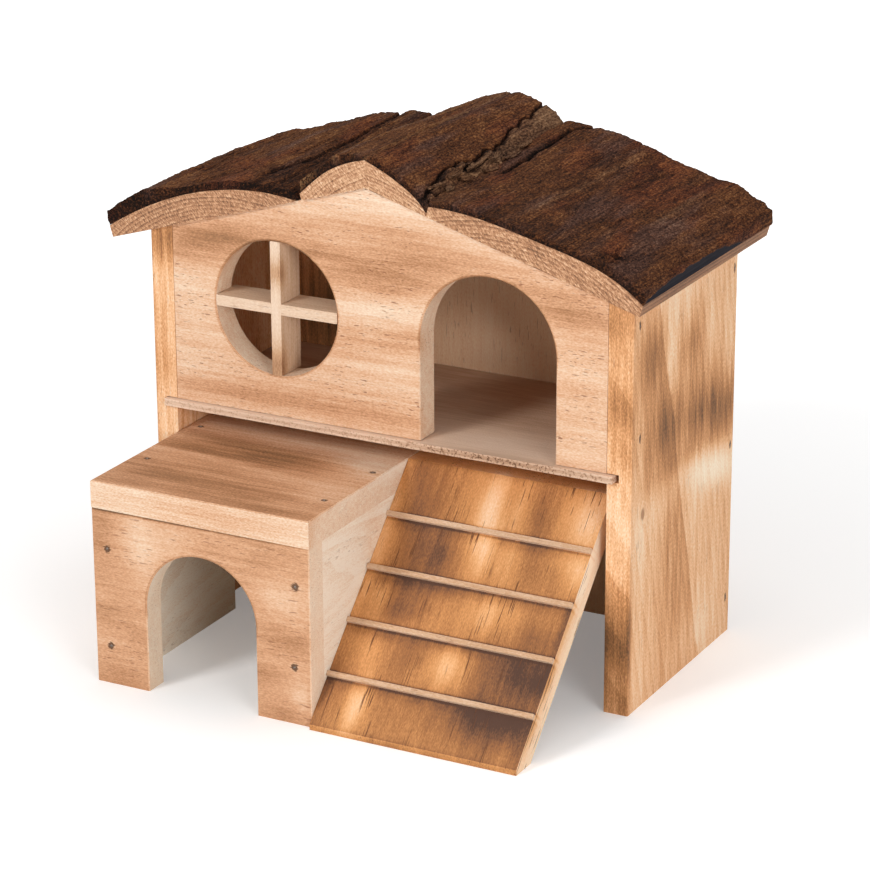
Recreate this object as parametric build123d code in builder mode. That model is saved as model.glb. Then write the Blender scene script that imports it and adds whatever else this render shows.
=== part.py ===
from build123d import *
from math import cos, radians, sin, tan
import os

# Two-storey wooden hamster house with a slab-and-bark roof, a tunnel and a ramp.
# Millimetres. +X runs to the right along the front, +Y to the back and +Z up. The ridge
# stands over x = 0, and the origin lies on the ground under the middle of the whole house.
# Distances called "back" are counted from the front edges of the side walls.

# ---- driving dimensions ------------------------------------------------------------------
# walls and panels
body_width = 200.0        # over the outer faces of the side walls
body_depth = 92.5         # front edge to back edge of a side wall
body_shift = 6.6          # the walls stand this far right of the ridge
board = 9.6               # planed pine board of the walls, tunnel sides and ramp
panel = 11.0              # front panel
back_board = 9.6          # back panel
ridge_height = 186.7      # ground to the peak of both gables
roof_pitch = 16.7         # slope of the gables, degrees
panel_fit = 0.2           # gap between a panel and the wall beside it
ease = 0.4                # sanded edge

# upper floor: loose plywood in a groove of each side wall
ply = 2.8
floor_height = 92.8       # ground to the upper face of the plywood
floor_lip = 1.9           # plywood in front of the walls
floor_tongue = 3.7        # plywood inside a groove
floor_shift = 0.8         # the loose plywood lies this much to the left of the middle
groove_depth = 4.7
groove_play = 0.4         # height of the groove over the plywood
floor_play = 0.3          # front panel over the plywood, and plywood to the back panel

# round window with a cross of two halved strips
window_radius = 26.1
window_inset = 44.6       # left wall to the centre
window_lift = 1.1         # centre over the middle of the panel's height there
strip = 4.2               # thickness of a strip
strip_depth = 14.0
strip_fit = 0.1           # strip end to the edge of the hole, and strip to strip

# arched doorway of the upper floor
door_width = 55.2
door_inset = 48.1         # right wall to the centre
door_head = 10.8          # wood over the arch, square to the roof

# tunnel
tunnel_width = 92.6
tunnel_reach = 61.4       # in front of the walls
tunnel_inside = 22.0      # behind the front of the walls
tunnel_top_board = 10.6
tunnel_drop = 10.0        # tunnel top under the plywood
tunnel_gap = 0.3          # tunnel to the left wall
arch_width = 46.8
arch_height = 57.6

# ramp
ramp_angle = 45.5         # slope, degrees
ramp_reach = 63.5         # toe in front of the walls
ramp_toe = 2.2            # blunt height of the toe
ramp_gap = 0.2            # ramp to the tunnel
ramp_side_gap = 3.9       # ramp to the right wall
batten_count = 4
batten_width = 1.9
batten_height = 1.5
batten_first = 20.2       # toe to the middle of the lowest batten, along the slope
batten_pitch = 21.85

# roof: four slabs sawn from the outside of a log, bark outwards
roof_front = 1.5          # slabs in front of the walls
roof_back = 20.7          # slabs behind the walls
eave_overhang = 2.8       # eave outside the right wall, along X
ridge_left_run = 27.7     # ridge to the lower edge of a ridge slab, along the slope
ridge_right_run = 25.6
left_slab_gap = 3.8       # ridge slab to the big slab below it
right_slab_gap = 0.3
# height of the wood over its flat underside, at equal steps from its upper edge down
left_slab_wood = (0.8, 8.0, 10.4, 9.1, 4.6)
ridge_left_wood = (9.9, 9.9, 8.6, 5.9, 2.6)
ridge_right_wood = (9.9, 8.6, 7.2, 5.1, 1.2)
right_slab_wood = (3.9, 8.2, 9.4, 9.7, 4.3)
# upright thickness of the bark, at equal steps of its own
left_slab_bark = (3.4, 3.4, 3.4, 3.5, 4.0, 6.0, 4.7)
ridge_left_bark = (1.2, 3.4, 3.8, 4.2, 5.0)
ridge_right_bark = (1.2, 3.2, 3.2, 3.8, 4.4)
right_slab_bark = (2.7, 2.7, 2.7, 3.0, 4.9)
bark_lip = 1.3            # bark beyond the wood at the eaves
bark_seat = 0.1           # parting between bark and wood
furrow_pitch = 5.6        # from one furrow of the bark to the next
furrow_depths = (1.2, 0.6, 1.6, 0.9, 0.4)

# ---- derived places ----------------------------------------------------------------------
roof_end = body_depth + roof_back
front_y = (ramp_reach - roof_end) / 2
body_x = body_shift
left_out = body_x - body_width / 2
right_out = body_x + body_width / 2
left_in = left_out + board
right_in = right_out - board
back_in = body_depth - back_board
floor_under = floor_height - ply
slope = radians(roof_pitch)
eave_run = (body_x + body_width / 2 + eave_overhang) / cos(slope)
tunnel_height = floor_under - tunnel_drop
tunnel_left = left_in + tunnel_gap
tunnel_right = tunnel_left + tunnel_width
tunnel_wall_top = tunnel_height - tunnel_top_board
ramp_left = tunnel_right + ramp_gap
ramp_width = right_in - ramp_side_gap - ramp_left
ramp_slope = radians(ramp_angle)
window_x = left_in + window_inset
door_x = right_in - door_inset


def roof_line(x):
    """Height of the gables and of the slabs' undersides at x."""
    return ridge_height - abs(x) * tan(slope)


window_z = (floor_height + roof_line(window_x)) / 2 + window_lift
arch_z = roof_line(door_x) - (door_width / 2 + door_head) / cos(slope)


def upright(back):
    """Plane that faces the front, at a distance behind the front of the walls."""
    return Plane.XZ.offset(-(front_y + back))


def finish(builder, label):
    """Name a finished piece and write its file."""
    builder.part.label = label
    export_step(builder.part, f"parts/{label}.step")


os.makedirs("parts", exist_ok=True)


# ---- side walls --------------------------------------------------------------------------
def make_side_wall(outer_x, inner_x, facing, label):
    """Upright board with a bevelled top under the slab and a groove for the upper floor."""
    groove_x = inner_x + facing * groove_depth
    groove_top = floor_height + groove_play
    with BuildPart() as wall:
        with BuildSketch(upright(0)):
            with BuildLine():
                Polyline(
                    (outer_x, 0),
                    (inner_x, 0),
                    (inner_x, floor_under),
                    (groove_x, floor_under),
                    (groove_x, groove_top),
                    (inner_x, groove_top),
                    (inner_x, roof_line(inner_x)),
                    (outer_x, roof_line(outer_x)),
                    close=True,
                )
            make_face()
        extrude(amount=-body_depth)
        outer_face = wall.faces().sort_by(Axis.X)[-1 if facing > 0 else 0]
        chamfer(outer_face.edges().filter_by(Axis.Z), ease)
    finish(wall, label)


make_side_wall(left_out, left_in, -1, "left_wall")
make_side_wall(right_out, right_in, 1, "right_wall")


# ---- gable panels ------------------------------------------------------------------------
def gable_corners(bottom):
    """Corners of a panel between the walls, from a height up to the roof line."""
    left = left_in + panel_fit
    right = right_in - panel_fit
    return [
        (left, bottom),
        (right, bottom),
        (right, roof_line(right)),
        (0, ridge_height),
        (left, roof_line(left)),
    ]


with BuildPart() as front_panel:
    with BuildSketch(upright(0)):
        Polygon(*gable_corners(floor_height + floor_play), align=None)
        with Locations((window_x, window_z)):
            Circle(window_radius, mode=Mode.SUBTRACT)
        with Locations((door_x, arch_z)):
            Circle(door_width / 2, mode=Mode.SUBTRACT)
            Rectangle(
                door_width,
                arch_z - floor_height,
                align=(Align.CENTER, Align.MAX),
                mode=Mode.SUBTRACT,
            )
    extrude(amount=-panel)
    rims = front_panel.faces().sort_by(Axis.Y)[0].edges()
    doorway_sides = rims.filter_by(Axis.Z).sort_by(Axis.X)[1:-1]
    chamfer(rims.filter_by(GeomType.CIRCLE) + doorway_sides, ease)
finish(front_panel, "front_panel")

with BuildPart() as back_panel:
    with BuildSketch(upright(back_in)):
        Polygon(*gable_corners(0), align=None)
    extrude(amount=-back_board)
finish(back_panel, "back_panel")

# ---- upper floor -------------------------------------------------------------------------
floor_depth = floor_lip + back_in - floor_play
with BuildPart() as upper_floor:
    with BuildSketch(Plane.XY.offset(floor_under)):
        with Locations((body_x - floor_shift, front_y - floor_lip)):
            Rectangle(
                right_in - left_in + 2 * floor_tongue,
                floor_depth,
                align=(Align.CENTER, Align.MIN),
            )
    extrude(amount=ply)
finish(upper_floor, "upper_floor")


# ---- window cross ------------------------------------------------------------------------
def make_window_strip(width, height, notch_back, label):
    """Strip that ends on the round hole, notched half its depth where the other one crosses."""
    with BuildPart() as window_strip:
        with BuildSketch(upright(0)):
            with Locations((window_x, window_z)):
                Circle(window_radius - strip_fit)
                Rectangle(width, height, mode=Mode.INTERSECT)
        extrude(amount=-strip_depth)
        with Locations((window_x, front_y + notch_back, window_z)):
            crossing = strip + strip_fit
            Box(
                crossing,
                strip_depth / 2 + strip_fit,
                crossing,
                align=(Align.CENTER, Align.MIN, Align.CENTER),
                mode=Mode.SUBTRACT,
            )
    finish(window_strip, label)


window_width = 2 * window_radius
make_window_strip(strip, window_width, strip_depth / 2 - strip_fit / 2, "window_strip_upright")
make_window_strip(window_width, strip, -strip_fit / 2, "window_strip_level")

# ---- tunnel ------------------------------------------------------------------------------
with BuildPart() as tunnel_front:
    with BuildSketch(upright(-tunnel_reach)):
        tunnel_middle = (tunnel_left + tunnel_right) / 2
        arch_spring = arch_height - arch_width / 2
        with Locations((tunnel_middle, 0)):
            Rectangle(tunnel_width, tunnel_wall_top, align=(Align.CENTER, Align.MIN))
            Rectangle(
                arch_width, arch_spring, align=(Align.CENTER, Align.MIN), mode=Mode.SUBTRACT
            )
        with Locations((tunnel_middle, arch_spring)):
            Circle(arch_width / 2, mode=Mode.SUBTRACT)
    extrude(amount=-board)
    rims = tunnel_front.faces().sort_by(Axis.Y)[0].edges()
    chamfer(rims.filter_by(GeomType.CIRCLE) + rims.filter_by(Axis.Z), ease)
finish(tunnel_front, "tunnel_front")

tunnel_side_depth = tunnel_reach - board + tunnel_inside


def make_tunnel_side(left_x, label):
    """Plain board behind the tunnel front."""
    with BuildPart() as side:
        with BuildSketch(Plane.XY):
            with Locations((left_x, front_y - tunnel_reach + board)):
                Rectangle(board, tunnel_side_depth, align=(Align.MIN, Align.MIN))
        extrude(amount=tunnel_wall_top)
    finish(side, label)


make_tunnel_side(tunnel_left, "tunnel_left_side")
make_tunnel_side(tunnel_right - board, "tunnel_right_side")

with BuildPart() as tunnel_top:
    with BuildSketch(Plane.XY.offset(tunnel_wall_top)):
        with Locations((tunnel_left, front_y - tunnel_reach)):
            Rectangle(
                tunnel_width, tunnel_reach + tunnel_inside, align=(Align.MIN, Align.MIN)
            )
    extrude(amount=tunnel_top_board)
    chamfer(tunnel_top.faces().sort_by(Axis.Z)[-1].edges(), ease)
finish(tunnel_top, "tunnel_top")


# ---- ramp --------------------------------------------------------------------------------
def on_ramp(along):
    """Point of the walking face, as seen from the right, at a length up from the toe."""
    back = -ramp_reach + along * cos(ramp_slope)
    return front_y + back, ramp_toe + along * sin(ramp_slope)


# The board is cut level at both ends: it stands flat on the ground, and its upper end is
# level with the tunnel top, under the plywood.
board_run = board / sin(ramp_slope)
top_back = -ramp_reach + (tunnel_height - ramp_toe) / tan(ramp_slope)
heel_back = -ramp_reach - ramp_toe / tan(ramp_slope) + board_run
with BuildPart() as ramp_board:
    with BuildSketch(Plane.YZ.offset(ramp_left)):
        with BuildLine():
            Polyline(
                (front_y - ramp_reach, 0),
                (front_y - ramp_reach, ramp_toe),
                (front_y + top_back, tunnel_height),
                (front_y + top_back + board_run, tunnel_height),
                (front_y + heel_back, 0),
                close=True,
            )
        make_face()
    extrude(amount=ramp_width)
finish(ramp_board, "ramp_board")

for number in range(batten_count):
    seat = on_ramp(batten_first + number * batten_pitch)
    with BuildPart() as batten:
        with BuildSketch(Plane.YZ.offset(ramp_left)):
            with Locations(Location(seat, ramp_angle)):
                Rectangle(batten_width, batten_height, align=(Align.CENTER, Align.MIN))
        extrude(amount=ramp_width)
    finish(batten, f"ramp_batten_{number + 1}")


# ---- roof slabs and their bark -----------------------------------------------------------
def slab_point(side, run, height):
    """Point of the front section, at a run down the slope and a height square to it."""
    x = side * (run * cos(slope) + height * sin(slope))
    return Vector(x, ridge_height - run * sin(slope) + height * cos(slope))


def crown_spots(side, upper_run, lower_run, wood):
    """Points along the round outside of the wood; at the ridge the slabs are mitred upright."""
    spots = []
    for number, height in enumerate(wood):
        run = upper_run + (lower_run - upper_run) * number / (len(wood) - 1)
        if run == 0:
            run = -height * tan(slope)
        spots.append(slab_point(side, run, height))
    return spots


def between(values, share):
    """Value at a share of the way through a list of evenly spaced values."""
    place = share * (len(values) - 1)
    lower = min(int(place), len(values) - 2)
    return values[lower] + (values[lower + 1] - values[lower]) * (place - lower)


def make_slab(side, upper_run, lower_run, wood, thickness, name):
    """A slab with a flat underside and a round crown, and the furrowed bark on the crown."""
    spots = crown_spots(side, upper_run, lower_run, wood)
    with BuildPart() as slab:
        with BuildSketch(upright(-roof_front)):
            with BuildLine():
                crown = Spline(*spots)
                Polyline(
                    crown @ 1,
                    slab_point(side, lower_run, 0),
                    slab_point(side, upper_run, 0),
                    crown @ 0,
                )
            make_face()
        extrude(amount=-(roof_front + roof_end))
    finish(slab, name)

    def bark_spot(share, depth):
        return crown @ share + Vector(0, between(thickness, share) - depth)

    ridges = round((lower_run - upper_run) / furrow_pitch)
    furrows = [furrow_depths[i % len(furrow_depths)] for i in range(1, ridges)]
    furrow_spots = [bark_spot(i / ridges, depth) for i, depth in enumerate([0, *furrows, 0])]
    crests = [bark_spot((i + 0.5) / ridges, 0) for i in range(ridges)]
    if lower_run == eave_run:
        furrow_spots[-1] += Vector(side * bark_lip, 0)
    with BuildPart() as bark:
        with BuildSketch(upright(-roof_front)):
            with BuildLine():
                seat = Spline(*[spot + Vector(0, bark_seat) for spot in spots])
                for start, crest, end in zip(furrow_spots, crests, furrow_spots[1:]):
                    ThreePointArc(start, crest, end)
                Line(seat @ 0, furrow_spots[0])
                Line(seat @ 1, furrow_spots[-1])
            make_face()
        extrude(amount=-(roof_front + roof_end))
    finish(bark, name + "_bark")


left_start = ridge_left_run + left_slab_gap
right_start = ridge_right_run + right_slab_gap
make_slab(-1, left_start, eave_run, left_slab_wood, left_slab_bark, "slab_left")
make_slab(-1, 0, ridge_left_run, ridge_left_wood, ridge_left_bark, "ridge_slab_left")
make_slab(1, 0, ridge_right_run, ridge_right_wood, ridge_right_bark, "ridge_slab_right")
make_slab(1, right_start, eave_run, right_slab_wood, right_slab_bark, "slab_right")
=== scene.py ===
import bpy
import math
import numpy as np
from collections import namedtuple
from mathutils import Matrix, Vector
from mathutils.bvhtree import BVHTree


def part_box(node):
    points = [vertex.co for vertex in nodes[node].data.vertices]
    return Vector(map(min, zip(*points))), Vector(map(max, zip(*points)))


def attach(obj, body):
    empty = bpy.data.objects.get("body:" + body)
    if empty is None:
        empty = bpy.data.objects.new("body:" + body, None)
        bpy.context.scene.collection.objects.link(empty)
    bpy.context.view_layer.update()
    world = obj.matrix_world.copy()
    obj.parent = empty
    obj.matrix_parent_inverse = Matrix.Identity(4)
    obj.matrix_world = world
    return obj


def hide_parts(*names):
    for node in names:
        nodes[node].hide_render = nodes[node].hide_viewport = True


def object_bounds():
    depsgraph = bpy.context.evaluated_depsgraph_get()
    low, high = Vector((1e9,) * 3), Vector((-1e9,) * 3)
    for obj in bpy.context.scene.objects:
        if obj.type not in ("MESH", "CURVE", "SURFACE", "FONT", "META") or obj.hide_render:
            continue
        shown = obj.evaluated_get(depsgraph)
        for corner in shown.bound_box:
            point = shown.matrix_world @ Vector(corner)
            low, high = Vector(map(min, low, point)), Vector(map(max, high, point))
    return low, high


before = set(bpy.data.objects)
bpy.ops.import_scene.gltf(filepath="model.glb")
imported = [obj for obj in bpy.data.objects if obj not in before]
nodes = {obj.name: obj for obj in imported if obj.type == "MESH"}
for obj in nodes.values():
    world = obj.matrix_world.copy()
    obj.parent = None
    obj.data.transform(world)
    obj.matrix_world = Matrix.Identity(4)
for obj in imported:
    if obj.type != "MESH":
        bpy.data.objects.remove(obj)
cad_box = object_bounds()

# The house is measured in millimetres from the middle of its body, from the front edges of its
# side walls and from the ground. The frame is in metres, and its origin lies elsewhere:
SHIFT = 6.6        # the body stands this far right of the ridge
FRONT = -24.85     # y of the walls' front edges
RAMP_SLOPE = math.radians(45.5)
RAMP_TOE = (-63.5, 2.2)     # y and z of the walking face's lower edge
WINDOW = (-45.8, 135.0, 26.1)     # x, z and radius of the round hole
DOORWAY = (42.3, 131.9, 27.6)     # x, z and radius of the arch's round head
TUNNEL_ARCH = (-43.8, 34.2, 23.4)     # the same of the tunnel's arch
TUNNEL_FACE = -61.4    # y of the tunnel's front
TUNNEL_ROOF = 80.1     # z of the tunnel's top
WALL_FACE = 100        # x of the right wall's outside
BACK_FACE = 92.5       # y of the back panel's outside
BACK_INSIDE = 83       # y of its inside

# grain directions
ALONG_X = Vector((1, 0, 0))
ALONG_Y = Vector((0, 1, 0))
ALONG_Z = Vector((0, 0, 1))
UP_THE_RAMP = Vector((0, math.cos(RAMP_SLOPE), math.sin(RAMP_SLOPE)))
OFF_THE_RAMP = Vector((0, -math.sin(RAMP_SLOPE), math.cos(RAMP_SLOPE)))


# ---- camera ------------------------------------------------------------------------------
CAMERA_TURN = (28.1117, 19.6561, -0.2523)     # azimuth, elevation and roll in degrees
CAMERA_DISTANCE = 1223.11
CAMERA_AIM = (18.432, -6.702)     # right of and above the front's middle, at AIM_HEIGHT
AIM_HEIGHT = 100
FOCAL_LENGTH = 137.326


def place_camera():
    """Camera at 28 degrees to the right of the front and 20 degrees above it."""
    azimuth, elevation, roll = (math.radians(v) for v in CAMERA_TURN)
    ahead = Vector((-math.sin(azimuth) * math.cos(elevation),
                    math.cos(azimuth) * math.cos(elevation), -math.sin(elevation)))
    right = Vector((math.cos(azimuth), math.sin(azimuth), 0))
    up = right.cross(ahead)
    right, up = (math.cos(roll) * right + math.sin(roll) * up,
                 math.cos(roll) * up - math.sin(roll) * right)
    target = Vector((SHIFT, FRONT, AIM_HEIGHT)) + CAMERA_AIM[0] * right + CAMERA_AIM[1] * up
    data = bpy.data.cameras.new("camera")
    data.sensor_width = 36
    data.lens = FOCAL_LENGTH
    data.clip_end = 10
    camera = bpy.data.objects.new("camera", data)
    turn = Matrix((right, up, -ahead)).transposed().to_4x4()
    camera.matrix_world = Matrix.Translation((target - CAMERA_DISTANCE * ahead) / 1000) @ turn
    bpy.context.scene.collection.objects.link(camera)
    bpy.context.scene.camera = camera


place_camera()


# ---- writing materials -------------------------------------------------------------------
def tone(red, green, blue):
    """A colour given by its screen values from 0 to 255, as the linear values shaders take."""
    steps = [v / 255 for v in (red, green, blue)]
    return tuple(v / 12.92 if v <= 0.04045 else ((v + 0.055) / 1.055) ** 2.4 for v in steps) + (1,)


class Finish:
    """A material whose node tree is written as steps. Each call adds one node and gives back
    its output, so that a later step can use it."""

    def __init__(self, name, roughness, specular=0.3):
        self.material = bpy.data.materials.new(name)
        self.material.use_nodes = True
        self.tree = self.material.node_tree
        self.shader = self.tree.nodes["Principled BSDF"]
        self.shader.inputs["Roughness"].default_value = roughness
        self.shader.inputs["Specular IOR Level"].default_value = specular

    def feed(self, socket, value):
        if isinstance(value, bpy.types.NodeSocket):
            self.tree.links.new(value, socket)
        else:
            socket.default_value = value

    def node(self, kind, inputs, output=0, **settings):
        node = self.tree.nodes.new("ShaderNode" + kind)
        for name, value in settings.items():
            setattr(node, name, value)
        for name, value in inputs.items():
            self.feed(node.inputs[name], value)
        return node.outputs[output]

    def math(self, operation, first, second=0.0, third=0.0):
        inputs = {0: first, 1: second, 2: third}
        return self.node("Math", inputs, operation=operation)

    def add(self, first, second):
        return self.math("ADD", first, second)

    def times(self, first, second):
        return self.math("MULTIPLY", first, second)

    def total(self, base, *terms):
        """base plus each (value, share) pair's product."""
        for value, share in terms:
            base = self.math("MULTIPLY_ADD", value, share, base)
        return base

    def dot(self, vector, direction):
        inputs = {0: vector, 1: tuple(direction)}
        return self.node("VectorMath", inputs, output="Value", operation="DOT_PRODUCT")

    def length(self, vector):
        return self.node("VectorMath", {0: vector}, output="Value", operation="LENGTH")

    def vector(self, x, y, z):
        return self.node("CombineXYZ", {0: x, 1: y, 2: z})

    def stretch(self, vector, scale, shift=(0, 0, 0)):
        inputs = {"Vector": vector, "Location": shift, "Scale": scale}
        return self.node("Mapping", inputs)

    def noise(self, vector, scale, shift=0.0, detail=2.0, roughness=0.5):
        """Cloudy noise around 0.5, with its own scale along each axis."""
        place = self.stretch(vector, scale, (shift, shift * 0.7, shift * 1.3))
        inputs = {"Vector": place, "Scale": 1.0, "Detail": detail, "Roughness": roughness}
        return self.node("TexNoise", inputs)

    def step(self, value, low, high, bottom=0.0, top=1.0):
        """Smooth step from bottom to top, between two levels of the value."""
        inputs = {"Value": value, 1: low, 2: high, 3: bottom, 4: top}
        return self.node("MapRange", inputs, interpolation_type="SMOOTHSTEP")

    def ramp(self, value, stops):
        """Colour between stops, each a place from 0 to 1 with its screen colour."""
        node = self.tree.nodes.new("ShaderNodeValToRGB")
        elements = node.color_ramp.elements
        while len(elements) < len(stops):
            elements.new(0.5)
        for element, (place, colour) in zip(elements, stops):
            element.position = place
            element.color = tone(*colour)
        self.feed(node.inputs[0], value)
        return node.outputs[0]

    def mix(self, share, first, second):
        """Blend of two colours; a plain colour is given by its screen values."""
        first, second = (tone(*c) if isinstance(c, tuple) else c for c in (first, second))
        inputs = {0: share, 6: first, 7: second}
        return self.node("Mix", inputs, output=2, data_type="RGBA")

    def bump(self, height, depth):
        """Bumps of a height value, with a depth in millimetres."""
        inputs = {"Height": height, "Distance": depth / 1000, "Strength": 1.0}
        self.tree.links.new(self.node("Bump", inputs), self.shader.inputs["Normal"])

    def house_place(self):
        """Place on the house in millimetres."""
        place = self.node("TexCoord", {}, output="Object")
        return self.stretch(place, (1000, 1000, 1000), (-SHIFT, -FRONT, 0))

    def facing(self):
        """The surface's own normal."""
        return self.node("TexCoord", {}, output="Normal")

    def paint(self, colour):
        self.feed(self.shader.inputs["Base Color"], colour)
        return self.material


# ---- floor and light ---------------------------------------------------------------------
def add_area(name, place, size, power):
    """Round soft lamp that faces the house."""
    data = bpy.data.lights.new(name, "AREA")
    data.shape = "DISK"
    data.size = size
    data.energy = power
    light = bpy.data.objects.new(name, data)
    light.location = place
    aim = Vector((0, 0, 0.1)) - Vector(place)
    light.rotation_euler = aim.to_track_quat("-Z", "Y").to_euler()
    bpy.context.scene.collection.objects.link(light)


def light_the_studio():
    """Key from the front left, fill from the right, a broad lamp above and an even pale room."""
    add_area("key", (-0.62, -1.5, 1.08), 0.55, 16)
    add_area("fill", (1.3, -1.0, 0.5), 0.8, 12)
    add_area("top", (0.2, 0.3, 1.9), 1.4, 10.5)
    room = bpy.data.worlds.new("studio")
    room.use_nodes = True
    tree = room.node_tree
    glow = tree.nodes["Background"]
    seen = tree.nodes.new("ShaderNodeBackground")
    for background, strength in ((glow, 0.38), (seen, 1)):
        background.inputs["Strength"].default_value = strength
        background.inputs["Color"].default_value = (1, 1, 1, 1)
    path = tree.nodes.new("ShaderNodeLightPath")
    choose = tree.nodes.new("ShaderNodeMixShader")
    tree.links.new(path.outputs["Is Camera Ray"], choose.inputs[0])
    tree.links.new(glow.outputs[0], choose.inputs[1])
    tree.links.new(seen.outputs[0], choose.inputs[2])
    tree.links.new(choose.outputs[0], tree.nodes["World Output"].inputs[0])
    bpy.context.scene.world = room
    bpy.context.scene.view_settings.view_transform = "Standard"


def lay_floor():
    """Plain white floor, twelve metres wide. Seen directly it also glows a little, and more
    further away, so that it stays white up to the horizon and keeps the house's shadow."""
    mesh = bpy.data.meshes.new("floor")
    mesh.from_pydata([(-6, -6, 0), (6, -6, 0), (6, 6, 0), (-6, 6, 0)], [], [(0, 1, 2, 3)])
    floor = bpy.data.objects.new("floor", mesh)
    bpy.context.scene.collection.objects.link(floor)
    s = Finish("floor_white", 0.9, 0.5)
    s.shader.inputs["Base Color"].default_value = (0.9, 0.9, 0.9, 1)
    s.shader.inputs["Emission Color"].default_value = (1, 1, 1, 1)
    away = s.length(s.node("TexCoord", {}, output="Object"))
    glow = s.node("MapRange", {"Value": away, 1: 0.1, 2: 1.2, 3: 0.2, 4: 0.9})
    seen = s.node("LightPath", {}, output="Is Camera Ray")
    s.feed(s.shader.inputs["Emission Strength"], s.times(glow, seen))
    mesh.materials.append(s.material)


light_the_studio()
lay_floor()


# ---- scorched pine -----------------------------------------------------------------------
# A mark is a soft spot that the burner left, or with a negative depth a paler one; a few are
# painted shade or painted light instead, as said where they stand. Each gives its middle, its
# reach along each axis, its depth and its turn in degrees, all on the house.
Mark = namedtuple("Mark", "place reach depth turn")
THROUGH = 4.0      # a mark's reach into the board


def on_front(x, z, half_x, half_z, depth, tilt=0.0, y=0.0):
    """Mark on a face that looks to the front; the tilt lifts its right end."""
    return Mark((x, y, z), (half_x, THROUGH, half_z), depth, (0, -tilt, 0))


def on_edge(side, z, half_z, depth, y=0.0):
    """Mark across the front edge of the left wall, side -1, or of the right one, side 1."""
    return on_front(side * 95, z, 30, half_z, depth, y=y)


def on_side(y, z, half_y, half_z, depth, tilt=0.0, x=WALL_FACE):
    """Mark on a face that looks to the side; the tilt lifts its back end."""
    return Mark((x, y, z), (THROUGH, half_y, half_z), depth, (tilt, 0, 0))


def on_top(x, y, half_x, half_y, depth, tilt=0.0):
    """Mark on the tunnel's top; the tilt turns its right end to the back."""
    return Mark((x, y, TUNNEL_ROOF), (half_x, half_y, THROUGH), depth, (0, 0, tilt))


def on_ramp(x, along, half_x, half_along, depth):
    """Mark on the walking face, at a length up from the toe."""
    y = RAMP_TOE[0] + along * math.cos(RAMP_SLOPE)
    z = RAMP_TOE[1] + along * math.sin(RAMP_SLOPE)
    return Mark((x, y, z), (half_x, half_along, THROUGH), depth, (math.degrees(RAMP_SLOPE), 0, 0))


PALE_TONES = [
    (0.0, (242, 228, 209)), (0.18, (233, 208, 182)), (0.36, (223, 183, 150)),
    (0.52, (207, 156, 118)), (0.7, (174, 124, 86)), (0.86, (143, 102, 69)), (1.0, (108, 76, 53)),
]
END_TONES = [
    (0.0, (240, 212, 180)), (0.3, (216, 172, 134)), (0.6, (178, 128, 92)), (1.0, (112, 78, 56)),
]
AMBER_TONES = [
    (0.0, (248, 224, 196)), (0.18, (240, 198, 158)), (0.36, (226, 168, 114)),
    (0.52, (203, 141, 84)), (0.7, (160, 105, 60)), (0.88, (118, 77, 50)), (1.0, (82, 54, 40)),
]
WALL_TONES = [
    (0.0, (250, 232, 206)), (0.18, (243, 212, 178)), (0.36, (235, 185, 140)),
    (0.52, (212, 153, 103)), (0.7, (176, 121, 75)), (0.86, (142, 97, 60)), (1.0, (104, 72, 46)),
]
BACK_TONES = [
    (0.0, (252, 222, 188)), (0.18, (246, 207, 168)), (0.36, (235, 185, 140)),
    (0.52, (212, 153, 103)), (0.7, (172, 122, 78)), (0.86, (130, 97, 62)), (1.0, (96, 72, 46)),
]
CREAM_TONES = [
    (0.0, (236, 216, 196)), (0.3, (220, 190, 162)), (0.6, (196, 154, 118)), (1.0, (140, 92, 58)),
]
PLY_TONES = [
    (0.0, (240, 216, 196)), (0.3, (222, 190, 164)), (0.6, (178, 140, 112)), (1.0, (104, 72, 50)),
]


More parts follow.
